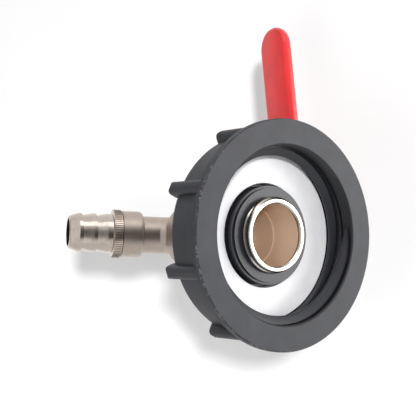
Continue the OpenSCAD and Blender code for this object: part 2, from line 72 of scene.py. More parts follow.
# the middle part of a noise's range, where nearly all of it lies, and a shorter part for stronger clouds
noiseSpan = {"From Min": 0.3, "From Max": 0.7}
cloudSpan = {"From Min": 0.35, "From Max": 0.65}


def toLinear(hexColour):
    # sRGB hex to linear RGBA
    parts = [int(hexColour[i:i + 2], 16) / 255 for i in (1, 3, 5)]
    return [c / 12.92 if c <= 0.04045 else ((c + 0.055) / 1.055) ** 2.4 for c in parts] + [1]


def addNode(tree, kind, settings=None, inputs=None, output=0):
    # settings are the node's own properties, inputs are values or sockets to link; gives one output
    node = tree.nodes.new(kind)
    for name, value in (settings or {}).items():
        setattr(node, name, value)
    for name, value in (inputs or {}).items():
        if isinstance(value, bpy.types.NodeSocket):
            tree.links.new(value, node.inputs[name])
        else:
            node.inputs[name].default_value = value
    return node.outputs[output] if node.outputs else None


def startMaterial(name, shaderValues):
    # gives the material, its node tree, its shader and the place on the piece in metres
    material = bpy.data.materials.new(name)
    material.use_nodes = True
    tree = material.node_tree
    shader = tree.nodes["Principled BSDF"]
    for socket, value in shaderValues.items():
        shader.inputs[socket].default_value = value
    return material, tree, shader, addNode(tree, "ShaderNodeTexCoord", output="Object")


def joinShader(tree, shader, colour, roughness, relief, depth):
    # depth is the real depth of the relief in mm
    normal = addNode(tree, "ShaderNodeBump", {}, {"Height": relief, "Distance": depth * mm, "Strength": 1.0})
    for socket, value in (("Base Color", colour), ("Roughness", roughness), ("Normal", normal)):
        tree.links.new(value, shader.inputs[socket])


def measureFromAxis(tree, position, point, axis):
    # how far a place is away from a line, and how far along it, in metres
    offset = addNode(tree, "ShaderNodeVectorMath", {"operation": "SUBTRACT"}, {0: position, 1: tuple(point)})
    along = addNode(tree, "ShaderNodeVectorMath", {"operation": "DOT_PRODUCT"}, {0: offset, 1: tuple(axis)}, "Value")
    across = addNode(tree, "ShaderNodeVectorMath", {"operation": "CROSS_PRODUCT"}, {0: offset, 1: tuple(axis)})
    return addNode(tree, "ShaderNodeVectorMath", {"operation": "LENGTH"}, {0: across}, "Value"), along


# Black polypropylene, injection moulded: satin, spark-eroded grain, pale scuffs on the rim, and a darker black
# painted inside the mouth as painted shade. Lengths in mm; a pair of lengths is where a zone starts and where
# it is full: radii from the inlet's axis, or depths
capLook = {"black": "#2F3036", "deep": "#232428", "paintedShadeWall": "#111216", "ridge": "#232429", "worn": "#9FA0A8",
           "grainSize": 0.35, "grainDepth": 0.03, "grainInside": 0.2, "cloudSize": 9.0,
           "rough": 0.5, "insideRough": 0.33, "roughSpread": (-0.05, 0.07),
           "scuff": 0.5, "scuffSize": 0.9, "scuffSpan": {"From Min": 0.5, "From Max": 0.6},
           "patchSize": 7.0, "patchSpan": {"From Min": 0.42, "From Max": 0.6},
           "rimRadii": (38.9, 39.3), "rimDepths": (1.4, 0.2),
           "mouthRadii": (31.2, 30.8), "mouthDepths": (0.2, 0.6), "wallRadii": (29.7, 29.95)}


def makeCapPlastic():
    material, tree, shader, position = startMaterial("polypropyleneMoulded", {"IOR": 1.49})
    grain = addNode(tree, "ShaderNodeTexNoise", {}, {
        "Vector": position, "Scale": 1 / (capLook["grainSize"] * mm), "Detail": 3.0})
    cloud = addNode(tree, "ShaderNodeTexNoise", {}, {"Vector": position, "Scale": 1 / (capLook["cloudSize"] * mm)})
    cloud = addNode(tree, "ShaderNodeMapRange", {}, {**noiseSpan, "Value": cloud})
    colour = addNode(tree, "ShaderNodeMix", {"data_type": "RGBA"}, {
        0: cloud, 6: toLinear(capLook["deep"]), 7: toLinear(capLook["black"])}, 2)
    away, depth = measureFromAxis(tree, position, Vector(), inletAxis)
    zones = {}
    for name, measure in (("rimRadii", away), ("rimDepths", depth), ("mouthRadii", away), ("mouthDepths", depth),
                          ("wallRadii", away)):
        edge, full = capLook[name]
        zones[name] = addNode(tree, "ShaderNodeMapRange", {}, {
            "Value": measure, "From Min": edge * mm, "From Max": full * mm})
    # scuffs where the flange's outer rim has rubbed
    flecks = addNode(tree, "ShaderNodeTexNoise", {}, {
        "Vector": position, "Scale": 1 / (capLook["scuffSize"] * mm), "Detail": 4.0, "Roughness": 0.7})
    flecks = addNode(tree, "ShaderNodeMapRange", {}, {
        **capLook["scuffSpan"], "Value": flecks, "To Max": capLook["scuff"]})
    patches = addNode(tree, "ShaderNodeTexNoise", {}, {"Vector": position, "Scale": 1 / (capLook["patchSize"] * mm)})
    patches = addNode(tree, "ShaderNodeMapRange", {}, {**capLook["patchSpan"], "Value": patches})
    flecks = addNode(tree, "ShaderNodeMath", {"operation": "MULTIPLY"}, {0: flecks, 1: patches})
    scuffs = addNode(tree, "ShaderNodeMath", {"operation": "MULTIPLY"}, {0: zones["rimRadii"], 1: zones["rimDepths"]})
    scuffs = addNode(tree, "ShaderNodeMath", {"operation": "MULTIPLY"}, {0: scuffs, 1: flecks})
    colour = addNode(tree, "ShaderNodeMix", {"data_type": "RGBA"}, {
        0: scuffs, 6: colour, 7: toLinear(capLook["worn"])}, 2)
    # the mouth is polished in the mould, so it is smoother than the grained outside. Its inside is painted darker
    # than the outside as painted shade: the wall blackest, the thread's ridge a little paler than the wall
    mouth = addNode(tree, "ShaderNodeMath", {"operation": "MULTIPLY"}, {
        0: zones["mouthRadii"], 1: zones["mouthDepths"]})
    wall = addNode(tree, "ShaderNodeMath", {"operation": "MULTIPLY"}, {0: mouth, 1: zones["wallRadii"]})
    # painted shade: the mouth's inside gets the darker ridge black, and its wall the darkest black
    colour = addNode(tree, "ShaderNodeMix", {"data_type": "RGBA"}, {
        0: mouth, 6: colour, 7: toLinear(capLook["ridge"])}, 2)
    colour = addNode(tree, "ShaderNodeMix", {"data_type": "RGBA"}, {
        0: wall, 6: colour, 7: toLinear(capLook["paintedShadeWall"])}, 2)
    rough = addNode(tree, "ShaderNodeMapRange", {}, {
        "Value": mouth, "To Min": capLook["rough"], "To Max": capLook["insideRough"]})
    speckle = addNode(tree, "ShaderNodeMapRange", {}, {
        **noiseSpan, "Value": grain, "To Min": capLook["roughSpread"][0], "To Max": capLook["roughSpread"][1]})
    rough = addNode(tree, "ShaderNodeMath", {}, {0: rough, 1: speckle})
    grained = addNode(tree, "ShaderNodeMapRange", {}, {
        "Value": mouth, "To Min": 1.0, "To Max": capLook["grainInside"]})
    relief = addNode(tree, "ShaderNodeMath", {"operation": "MULTIPLY"}, {0: grain, 1: grained})
    joinShader(tree, shader, colour, rough, relief, capLook["grainDepth"])
    return material


# White polyethylene washer, punched from sheet: smooth and a little waxy; sizes in mm
washerLook = {"white": "#F6F6F8", "shade": "#F0F0F3", "cloudSize": 6.0, "waveSize": 0.8, "waveDepth": 0.008,
              "glow": 0.15, "glowDepth": 1.2, "rough": (0.44, 0.56)}


def makeWasherPlastic():
    material, tree, shader, position = startMaterial("polyethyleneSheet", {
        "Subsurface Weight": washerLook["glow"], "Subsurface Scale": washerLook["glowDepth"] * mm,
        "Subsurface Radius": (1, 1, 1), "IOR": 1.51})
    cloud = addNode(tree, "ShaderNodeTexNoise", {}, {"Vector": position, "Scale": 1 / (washerLook["cloudSize"] * mm)})
    tone = addNode(tree, "ShaderNodeMapRange", {}, {**cloudSpan, "Value": cloud})
    colour = addNode(tree, "ShaderNodeMix", {"data_type": "RGBA"}, {
        0: tone, 6: toLinear(washerLook["shade"]), 7: toLinear(washerLook["white"])}, 2)
    wave = addNode(tree, "ShaderNodeTexNoise", {}, {"Vector": position, "Scale": 1 / (washerLook["waveSize"] * mm)})
    rough = addNode(tree, "ShaderNodeMapRange", {}, {
        "Value": wave, "To Min": washerLook["rough"][0], "To Max": washerLook["rough"][1]})
    joinShader(tree, shader, colour, rough, wave, washerLook["waveDepth"])
    return material


# Nickel plate over cast brass: warm satin, softly wavy, tarnished in the hollows, and whiter where
# the tail's end is turned. The tail's bore has hardly any plate, so dull brown brass shows, with a
# film of oxide that scatters the light and the rings of the boring tool. Lengths in mm; a pair of
# lengths is where a zone starts and where it is full, the zones are like the cap's
nickelLook = {"plate": "#C0B3A9", "tarnish": "#9C8A78", "tarnishShare": 0.25,
              "tarnishSpan": {"From Min": 0.3, "From Max": 0.75}, "waveSize": 2.4, "speckSize": 0.5,
              "speck": 0.05, "castDepth": 0.05, "rough": (0.36, 0.46),
              "turned": "#CFC9C1", "turnedRough": 0.2, "turnedDepths": (9.0, 8.6),
              "bore": "#D8BEA6", "boreRough": 0.45, "boreMetal": 0.3, "ringSize": 0.15, "ringDepth": 0.02,
              "boreRadii": (10.95, 10.85), "boreDepths": (6.9, 7.1), "boreEnds": (42.0, 41.5)}


def makeCastNickel():
    material, tree, shader, position = startMaterial("nickelPlatedCastBrass", {})
    wave = addNode(tree, "ShaderNodeTexNoise", {}, {"Vector": position, "Scale": 1 / (nickelLook["waveSize"] * mm)})
    speck = addNode(tree, "ShaderNodeTexNoise", {}, {
        "Vector": position, "Scale": 1 / (nickelLook["speckSize"] * mm), "Detail": 3.0})
    tarnish = addNode(tree, "ShaderNodeMapRange", {}, {
        **nickelLook["tarnishSpan"], "Value": wave, "To Max": nickelLook["tarnishShare"]})
    colour = addNode(tree, "ShaderNodeMix", {"data_type": "RGBA"}, {
        0: tarnish, 6: toLinear(nickelLook["plate"]), 7: toLinear(nickelLook["tarnish"])}, 2)
    away, depth = measureFromAxis(tree, position, Vector(), inletAxis)
    zones = {}
    for name, measure in (("turnedDepths", depth), ("boreRadii", away), ("boreDepths", depth), ("boreEnds", depth)):
        edge, full = nickelLook[name]
        zones[name] = addNode(tree, "ShaderNodeMapRange", {}, {
            "Value": measure, "From Min": edge * mm, "From Max": full * mm})
    turned = zones["turnedDepths"]
    colour = addNode(tree, "ShaderNodeMix", {"data_type": "RGBA"}, {
        0: turned, 6: colour, 7: toLinear(nickelLook["turned"])}, 2)
    # the bore ends before the spout, whose outside also comes near the axis
    bore = addNode(tree, "ShaderNodeMath", {"operation": "MULTIPLY"}, {0: zones["boreRadii"], 1: zones["boreDepths"]})
    bore = addNode(tree, "ShaderNodeMath", {"operation": "MULTIPLY"}, {0: bore, 1: zones["boreEnds"]})
    colour = addNode(tree, "ShaderNodeMix", {"data_type": "RGBA"}, {
        0: bore, 6: colour, 7: toLinear(nickelLook["bore"])}, 2)
    rough = addNode(tree, "ShaderNodeMapRange", {}, {
        **noiseSpan, "Value": speck, "To Min": nickelLook["rough"][0], "To Max": nickelLook["rough"][1]})
    rough = addNode(tree, "ShaderNodeMix", {}, {0: turned, 2: rough, 3: nickelLook["turnedRough"]})
    rough = addNode(tree, "ShaderNodeMix", {}, {0: bore, 2: rough, 3: nickelLook["boreRough"]})
    metal = addNode(tree, "ShaderNodeMapRange", {}, {"Value": bore, "To Min": 1.0, "To Max": nickelLook["boreMetal"]})
    tree.links.new(metal, shader.inputs["Metallic"])
    speck = addNode(tree, "ShaderNodeMath", {"operation": "MULTIPLY"}, {0: speck, 1: nickelLook["speck"]})
    cast = addNode(tree, "ShaderNodeMath", {}, {0: wave, 1: speck})
    cast = addNode(tree, "ShaderNodeMath", {"operation": "MULTIPLY"}, {0: cast, 1: nickelLook["castDepth"]})
    rings = addNode(tree, "ShaderNodeTexNoise", {"noise_dimensions": "1D"}, {
        "W": depth, "Scale": 1 / (nickelLook["ringSize"] * mm), "Detail": 1.0})
    rings = addNode(tree, "ShaderNodeMath", {"operation": "MULTIPLY"}, {0: rings, 1: nickelLook["ringDepth"]})
    relief = addNode(tree, "ShaderNodeMix", {}, {0: bore, 2: cast, 3: rings})
    joinShader(tree, shader, colour, rough, relief, 1.0)
    return material


# Nickel plate over turned brass: brighter, with fine turning rings round the nozzle's axis; sizes in mm
turnedLook = {"plate": "#CBC0B7", "tarnish": "#8F7A58", "tarnishShare": 0.2,
              "tarnishSpan": {"From Min": 0.35, "From Max": 0.75}, "cloudSize": 2.0, "ringSize": 0.16,
              "ringDepth": 0.004, "rough": (0.12, 0.2)}


def makeTurnedNickel():
    material, tree, shader, position = startMaterial("nickelPlatedTurnedBrass", {"Metallic": 1.0})
    along = measureFromAxis(tree, position, collarPoint, spoutAxis)[1]
    rings = addNode(tree, "ShaderNodeTexNoise", {"noise_dimensions": "1D"}, {
        "W": along, "Scale": 1 / (turnedLook["ringSize"] * mm)})
    cloud = addNode(tree, "ShaderNodeTexNoise", {}, {"Vector": position, "Scale": 1 / (turnedLook["cloudSize"] * mm)})
    tarnish = addNode(tree, "ShaderNodeMapRange", {}, {
        **turnedLook["tarnishSpan"], "Value": cloud, "To Max": turnedLook["tarnishShare"]})
    colour = addNode(tree, "ShaderNodeMix", {"data_type": "RGBA"}, {
        0: tarnish, 6: toLinear(turnedLook["plate"]), 7: toLinear(turnedLook["tarnish"])}, 2)
    rough = addNode(tree, "ShaderNodeMapRange", {}, {
        **noiseSpan, "Value": cloud, "To Min": turnedLook["rough"][0], "To Max": turnedLook["rough"][1]})
    joinShader(tree, shader, colour, rough, rings, turnedLook["ringDepth"])
    return material


# Soft PVC that the lever's end was dipped in: thick, glossy, slightly uneven red; sizes in mm
vinylLook = {"red": "#EE2A2C", "deep": "#E02427", "cloudSize": 8.0, "waveSize": 5.0, "waveDepth": 0.004,
             "rough": (0.25, 0.35), "coat": 0.5, "coatRough": 0.12, "glow": 0.2, "glowDepth": 1.0}


def makeRedVinyl():
    material, tree, shader, position = startMaterial("pvcDip", {
        "IOR": 1.54, "Subsurface Weight": vinylLook["glow"], "Subsurface Scale": vinylLook["glowDepth"] * mm,
        "Subsurface Radius": (1.0, 0.2, 0.1), "Coat Weight": vinylLook["coat"],
        "Coat Roughness": vinylLook["coatRough"]})
    cloud = addNode(tree, "ShaderNodeTexNoise", {}, {"Vector": position, "Scale": 1 / (vinylLook["cloudSize"] * mm)})
    tone = addNode(tree, "ShaderNodeMapRange", {}, {**noiseSpan, "Value": cloud})
    colour = addNode(tree, "ShaderNodeMix", {"data_type": "RGBA"}, {
        0: tone, 6: toLinear(vinylLook["deep"]), 7: toLinear(vinylLook["red"])}, 2)
    wave = addNode(tree, "ShaderNodeTexNoise", {}, {"Vector": position, "Scale": 1 / (vinylLook["waveSize"] * mm)})
    rough = addNode(tree, "ShaderNodeMapRange", {}, {
        "Value": wave, "To Min": vinylLook["rough"][0], "To Max": vinylLook["rough"][1]})
    joinShader(tree, shader, colour, rough, wave, vinylLook["waveDepth"])
    return material


# Zinc plated steel strip: cool grey, lightly brushed along the lever; sizes in mm
zincLook = {"zinc": "#B4B6B8", "dull": "#94979B", "brushSize": 0.3, "brushStretch": 16.0, "brushDepth": 0.006,
            "cloudSize": 3.0, "dullSpan": {"From Min": 0.35, "From Max": 0.7}, "rough": (0.26, 0.42)}


def makeZincSteel():
    material, tree, shader, position = startMaterial("zincPlatedSteel", {"Metallic": 1.0})
    alongLever = addNode(tree, "ShaderNodeMapping", {}, {
        "Vector": position, "Rotation": (leverAngle, 0, 0), "Scale": (1, 1, 1 / zincLook["brushStretch"])})
    brush = addNode(tree, "ShaderNodeTexNoise", {}, {"Vector": alongLever, "Scale": 1 / (zincLook["brushSize"] * mm)})
    cloud = addNode(tree, "ShaderNodeTexNoise", {}, {
        "Vector": position, "Scale": 1 / (zincLook["cloudSize"] * mm), "Detail": 3.0})
    tone = addNode(tree, "ShaderNodeMapRange", {}, {**zincLook["dullSpan"], "Value": cloud})
    colour = addNode(tree, "ShaderNodeMix", {"data_type": "RGBA"}, {
        0: tone, 6: toLinear(zincLook["zinc"]), 7: toLinear(zincLook["dull"])}, 2)
    rough = addNode(tree, "ShaderNodeMapRange", {}, {
        **noiseSpan, "Value": brush, "To Min": zincLook["rough"][0], "To Max": zincLook["rough"][1]})
    joinShader(tree, shader, colour, rough, brush, zincLook["brushDepth"])
    return material


# Small parts inside the valve: moulded nitrile rubber is matt black, turned brass warm and bright,
# the chromed ball a near mirror, and machined PTFE waxy white; sizes in mm
smallLooks = {
    "black_rubber": {"name": "nitrileRubber", "colour": "#1D1D1F", "spot": "#29292B", "size": 1.2,
                     "rough": 0.6, "metallic": 0.0, "depth": 0.01},
    "bare_brass": {"name": "turnedBrass", "colour": "#C9A25E", "spot": "#A98446", "size": 1.5,
                   "rough": 0.28, "metallic": 1.0, "depth": 0.006},
    "chromed_ball": {"name": "chromePlatedBrass", "colour": "#D8DADC", "spot": "#C9CCD0", "size": 4.0,
                     "rough": 0.08, "metallic": 1.0, "depth": 0.002},
    "ptfe": {"name": "machinedPtfe", "colour": "#F0EFEA", "spot": "#E2E0D8", "size": 2.0,
             "rough": 0.45, "metallic": 0.0, "depth": 0.006},
}
smallRoughSpread = (0.8, 1.2)  # least and most of a small part's own roughness


def makeSmallPart(look):
    material, tree, shader, position = startMaterial(look["name"], {"Metallic": look["metallic"]})
    cloud = addNode(tree, "ShaderNodeTexNoise", {}, {
        "Vector": position, "Scale": 1 / (look["size"] * mm), "Detail": 3.0})
    tone = addNode(tree, "ShaderNodeMapRange", {}, {**cloudSpan, "Value": cloud})
    colour = addNode(tree, "ShaderNodeMix", {"data_type": "RGBA"}, {
        0: tone, 6: toLinear(look["colour"]), 7: toLinear(look["spot"])}, 2)
    least, most = [look["rough"] * share for share in smallRoughSpread]
    rough = addNode(tree, "ShaderNodeMapRange", {}, {**noiseSpan, "Value": cloud, "To Min": least, "To Max": most})
    joinShader(tree, shader, colour, rough, cloud, look["depth"])
    return material


materials = {
    "cap_plastic": makeCapPlastic(), "white_washer": makeWasherPlastic(), "nickel_brass": makeCastNickel(),
    "turned_nickel": makeTurnedNickel(), "red_vinyl": makeRedVinyl(), "zinc_steel": makeZincSteel()}
for slotName, look in smallLooks.items():
    materials[slotName] = makeSmallPart(look)
for part in frame["record"]["subparts"]:
    for materialSlot in frame["nodes"][part["node"]].material_slots:
        materialSlot.material = materials[part["material_slot"]]
print("materials made")

samePlace = 1e-6  # places closer than this are the same, in metres
weldDistance = 0.002  # vertices closer than this are joined, in mm
squarely = 0.9  # a face looks along an axis when its normal has this much of it


def clearSelection():
    if bpy.context.object and bpy.context.object.mode != "OBJECT":
        bpy.ops.object.mode_set(mode="OBJECT")
    bpy.ops.object.select_all(action="DESELECT")


def selectPlaces(piece, kind, test):
    # ends in edit mode, where just the vertices, edges or faces that pass the test are selected
    bpy.ops.object.mode_set(mode="EDIT")
    bpy.ops.mesh.select_mode(type=kind)
    bpy.ops.mesh.select_all(action="DESELECT")
    bpy.ops.object.mode_set(mode="OBJECT")
    mesh = piece.data
    if kind == "VERT":
        for vertex in mesh.vertices:
            vertex.select = test(vertex.co)
    elif kind == "EDGE":
        for edge in mesh.edges:
            edge.select = test(*[mesh.vertices[i].co for i in edge.vertices])
    else:
        for face in mesh.polygons:
            face.select = test(face.center, face.normal)
    bpy.ops.object.mode_set(mode="EDIT")


def finishPiece(piece, name, body, slotName, smoothAngle):
    # its place goes into the mesh and its faces point outwards, then it gets its body and material
    clearSelection()
    piece.select_set(True)
    bpy.context.view_layer.objects.active = piece
    bpy.ops.object.transform_apply(location=True, rotation=True, scale=True)
    bpy.ops.object.mode_set(mode="EDIT")
    bpy.ops.mesh.select_all(action="SELECT")
    bpy.ops.mesh.remove_doubles(threshold=weldDistance * mm)
    bpy.ops.mesh.normals_make_consistent(inside=False)
    bpy.ops.object.mode_set(mode="OBJECT")
    bpy.ops.object.shade_smooth_by_angle(angle=math.radians(smoothAngle))
    piece.name = name
    piece.data.name = name
    piece.data.materials.clear()
    piece.data.materials.append(materials[slotName])
    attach(piece, body)
    print("made", name)


# Threads: one ridge wound round the Y axis, sunk into its wall at both ends.
# This is the tank thread's ridge inside the cap, of 6 mm pitch; lengths in mm, angles in degrees.
# seams: the turn where a joint of the mould crosses the ridge, and how deep its nick is
tankThread = {"wall": 30.3, "crest": 27.4, "base": 3.4, "top": 1.2, "rounding": 0.55, "pitch": 6.0, "turns": 1.28,
              "steps": 180, "runIn": 16.0, "runOut": 60.0, "sink": 0.1, "startAngle": -10, "startDepth": 2.9,
              "seams": {0.97: 0.35, 0.1: 0.12}, "cornerSteps": 3, "smoothAngle": 50}
# Fine ridge of the tap's own thread on the tail's end, of 1.814 mm pitch
tapThread = {"wall": 12.55, "crest": 13.2, "base": 1.25, "top": 0.35, "rounding": 0.1, "pitch": 1.814, "turns": 1.1,
             "steps": 120, "runIn": 8.0, "runOut": 8.0, "sink": 0.05, "startAngle": 200, "startDepth": 6.55,
             "seams": {}, "cornerSteps": 3, "smoothAngle": 50}


def makeThread(name, body, slotName, size):
    clearSelection()
    wall, crest, base = [size[key] * mm for key in ("wall", "crest", "base")]
    middle, height = (wall + crest) / 2, abs(crest - wall)
    overHalf = 0.6  # a little more than half, to pick one whole ring or just its crest
    bpy.ops.mesh.primitive_plane_add(size=1, location=(0, 0, 0))
    ridge = bpy.context.object
    bpy.ops.object.mode_set(mode="EDIT")
    bpy.ops.transform.resize(value=(height, base, 1), center_override=(0, 0, 0))
    bpy.ops.transform.translate(value=(middle, 0, 0))
    # the crest side is narrowed and its corners rounded
    selectPlaces(ridge, "VERT", lambda co: abs(co.x - crest) < height / 2)
    bpy.ops.transform.resize(value=(1, size["top"] / size["base"], 1), center_override=(0, 0, 0))
    bpy.ops.mesh.bevel(offset=size["rounding"] * mm, segments=size["cornerSteps"], affect="VERTICES")
    bpy.ops.mesh.select_all(action="SELECT")
    bpy.ops.mesh.delete(type="ONLY_FACE")
    bpy.ops.object.mode_set(mode="OBJECT")
    winding = ridge.modifiers.new("winding", "SCREW")
    winding.axis = "Y"
    winding.angle = math.radians(360 * size["turns"])
    winding.screw_offset = size["pitch"] * size["turns"] * mm
    winding.steps = winding.render_steps = round(size["turns"] * size["steps"])
    bpy.ops.object.modifier_apply(modifier=winding.name)

    def isAtTurn(co, turn):
        # one ring of the ridge, found by its angle and its depth
        angle = math.atan2(-co.z, co.x) - math.radians(360 * turn)
        angle = (angle + math.pi) % (2 * math.pi) - math.pi
        onRing = abs(co.y - size["pitch"] * turn * mm) < base * overHalf
        return abs(angle) < math.pi / size["steps"] and onRing

    # both ends are drawn into the wall, less and less along the ridge
    sunk = (wall + math.copysign(size["sink"] * mm, wall - crest)) / crest
    for turn, reach in ((0, size["runIn"]), (size["turns"], size["runOut"])):
        selectPlaces(ridge, "VERT", lambda co: isAtTurn(co, turn))
        bpy.ops.transform.resize(
            value=(sunk, 1, sunk), center_override=(0, 0, 0), use_proportional_edit=True,
            use_proportional_connected=True, proportional_edit_falloff="SHARP", proportional_size=reach * mm)
        bpy.ops.object.mode_set(mode="OBJECT")
    for turn, nick in size["seams"].items():
        selectPlaces(ridge, "VERT", lambda co: isAtTurn(co, turn)
                     and abs(math.hypot(co.x, co.z) - wall) > height * overHalf)
        cut = (crest + math.copysign(nick * mm, wall - crest)) / crest
        bpy.ops.transform.resize(value=(cut, 1, cut), center_override=(0, 0, 0))
        bpy.ops.object.mode_set(mode="OBJECT")
    # the open ends are closed
    bpy.ops.object.mode_set(mode="EDIT")
    bpy.ops.mesh.select_mode(type="EDGE")
    bpy.ops.mesh.select_all(action="DESELECT")
    bpy.ops.mesh.select_non_manifold()
    bpy.ops.mesh.edge_face_add()
    bpy.ops.object.mode_set(mode="OBJECT")
    ridge.rotation_euler = (0, math.radians(size["startAngle"]), 0)
    ridge.location = (0, size["startDepth"] * mm, 0)
    finishPiece(ridge, name, body, slotName, size["smoothAngle"])


makeThread("tankThread", "tap", "cap_plastic", tankThread)
makeThread("tapThread", "tap", "nickel_brass", tapThread)

# Knurl: straight teeth round the nozzle's collar. Radii and lengths in mm;
# start is the distance from the collar's back face
knurl = {"teeth": 66, "rootRadius": 8.55, "crestRadius": 9.02, "start": 0.1, "length": 2.85, "chamfer": 0.22,
         "smoothAngle": 20}


def makeKnurl():
    clearSelection()
    root, crest, length, chamfer = [knurl[key] * mm for key in ("rootRadius", "crestRadius", "length", "chamfer")]
    perTooth = 4  # corners of the ring for each tooth
    corners = knurl["teeth"] * perTooth
    stepAngle = 2 * math.pi / corners
    bpy.ops.mesh.primitive_cylinder_add(vertices=corners, radius=crest, depth=length, location=(0, 0, 0))
    ring = bpy.context.object
    # two of every four corners go down to the root, so flat teeth and flat grooves take turns
    selectPlaces(ring, "VERT", lambda co: round(math.atan2(co.y, co.x) / stepAngle) % perTooth < perTooth / 2)
    bpy.ops.transform.resize(value=(root / crest, root / crest, 1), center_override=(0, 0, 0))
    # the rim of both ends is chamfered
    selectPlaces(ring, "FACE", lambda centre, normal: abs(normal.z) > squarely)
    bpy.ops.mesh.inset(thickness=chamfer, depth=0)
    selectPlaces(ring, "VERT", lambda co: math.hypot(co.x, co.y) > root - chamfer / 2)
    bpy.ops.transform.resize(value=(1, 1, 1 - chamfer / knurl["length"] / mm), center_override=(0, 0, 0))
    bpy.ops.object.mode_set(mode="OBJECT")
    ring.rotation_mode = "QUATERNION"
    ring.rotation_quaternion = spoutAxis.to_track_quat("Z", "Y")
    ring.location = collarPoint + spoutAxis * (knurl["start"] * mm + length / 2)
    finishPiece(ring, "knurlTeeth", "nozzle", "turned_nickel", knurl["smoothAngle"])


makeKnurl()

# Lever grip: red sleeve with a bullet tip and an open lip round the steel strip. Lengths in mm;
# start and end are along the lever from the stem's axis, tipRound is a share of half the width
grip = {"start": 27.0, "end": 88.0, "width": 15.2, "thickness": 4.6, "tipStretch": 1.2, "edge": 1.9,
        "lipWall": 0.9, "lipDepth": 2.0, "tipRound": 0.97, "tipSteps": 14, "edgeSteps": 6, "smoothAngle": 60}


def makeGrip():
    clearSelection()
    low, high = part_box("lever_grip")
    gripPlane = (low.x + high.x) / 2
    start, end, width, thickness = [grip[key] * mm for key in ("start", "end", "width", "thickness")]
    length, tipRadius = end - start, width / 2
    bpy.ops.mesh.primitive_cube_add(size=1, location=(0, 0, 0))
    sleeve = bpy.context.object
    bpy.ops.object.mode_set(mode="EDIT")
    bpy.ops.transform.resize(value=(thickness, width, length), center_override=(0, 0, 0))
    bpy.ops.transform.translate(value=(0, 0, length / 2))
    # the end is rounded to a half circle, then drawn out
    selectPlaces(sleeve, "EDGE", lambda a, b: min(a.z, b.z) > length / 2 and abs(a.y - b.y) < samePlace)
    bpy.ops.mesh.bevel(offset=tipRadius * grip["tipRound"], segments=grip["tipSteps"], affect="EDGES")
    selectPlaces(sleeve, "VERT", lambda co: co.z > length - tipRadius)
    bpy.ops.transform.translate(value=(0, 0, tipRadius * (1 - grip["tipStretch"])))
    bpy.ops.transform.resize(value=(1, 1, grip["tipStretch"]),
                             center_override=(0, 0, length - tipRadius * grip["tipStretch"]))

    def isLongEdge(a, b):
        # on the rim of one of the two broad faces, apart from the mouth's own edge
        onFace = abs(a.x - b.x) < samePlace and abs(abs(a.x) - thickness / 2) < samePlace
        return onFace and max(a.z, b.z) > samePlace

    selectPlaces(sleeve, "EDGE", isLongEdge)
    bpy.ops.mesh.bevel(offset=grip["edge"] * mm, segments=grip["edgeSteps"], affect="EDGES")
    # open mouth round the steel strip
    selectPlaces(sleeve, "FACE", lambda centre, normal: normal.z < -squarely)
    bpy.ops.mesh.inset(thickness=grip["lipWall"] * mm, depth=0)
    bpy.ops.mesh.extrude_region_move(TRANSFORM_OT_translate={"value": (0, 0, grip["lipDepth"] * mm)})
    bpy.ops.object.mode_set(mode="OBJECT")
    sleeve.rotation_mode = "QUATERNION"
    sleeve.rotation_quaternion = Matrix((stemAxis, leverAxis.cross(stemAxis), leverAxis)).transposed().to_quaternion()
    sleeve.location = Vector((gripPlane, stemPoint.y, 0)) + leverAxis * start
    finishPiece(sleeve, "gripSleeve", "handle", "red_vinyl", grip["smoothAngle"])
    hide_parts("lever_grip")


makeGrip()

# Camera, fitted to the cap's rings: turn, tilt and roll in degrees. The mouth's centre is to the right of,
# above and away from the camera in mm; near and far are where the view starts and ends, in m
cameraFit = {"turn": 37.9, "tilt": 1.7, "roll": 3.4, "right": 27.3, "up": -9.1, "away": 350.0, "lens": 89.74,
             "near": 0.01, "far": 20.0}


def placeCamera():
    turn, tilt, roll = [math.radians(cameraFit[key]) for key in ("turn", "tilt", "roll")]
    inlet = -Vector((math.sin(turn) * math.cos(tilt), math.sin(tilt), math.cos(turn) * math.cos(tilt)))
    upright = (Vector((0, 1, 0)) - inlet * inlet.y).normalized()
    sideways = inlet.cross(upright)
    stem = sideways * math.cos(roll) - upright * math.sin(roll)
    lever = sideways * math.sin(roll) + upright * math.cos(roll)
    mouth = Vector((cameraFit["right"], cameraFit["up"], -cameraFit["away"])) * mm
    bpy.ops.object.camera_add()
    camera = bpy.context.object
    camera.name = "photoCamera"
    camera.data.lens = cameraFit["lens"]
    camera.data.clip_start, camera.data.clip_end = cameraFit["near"], cameraFit["far"]
    turned = Matrix((stem, inlet, lever))
    camera.matrix_world = Matrix.Translation(-(turned @ mouth)) @ turned.to_4x4()
    bpy.context.scene.camera = camera
    return camera


camera = placeCamera()
cameraRight, cameraUp, towardsCamera = [camera.matrix_world.col[i].to_3d() for i in range(3)]

# Stage: a pale sheet that lies under the part and curves up behind it. Lengths in mm;
# floorDrop is below the part, behind is from the mouth's centre.
# glow is what the camera sees in the sheet's own light, catch is its paint, which takes the shadow
sheetLook = {"floorDrop": 80.0, "behind": 128.0, "front": 160.0, "halfWidth": 400.0, "height": 460.0,
             "curve": 30.0, "curveSteps": 12, "glow": 0.09, "catch": 0.86}


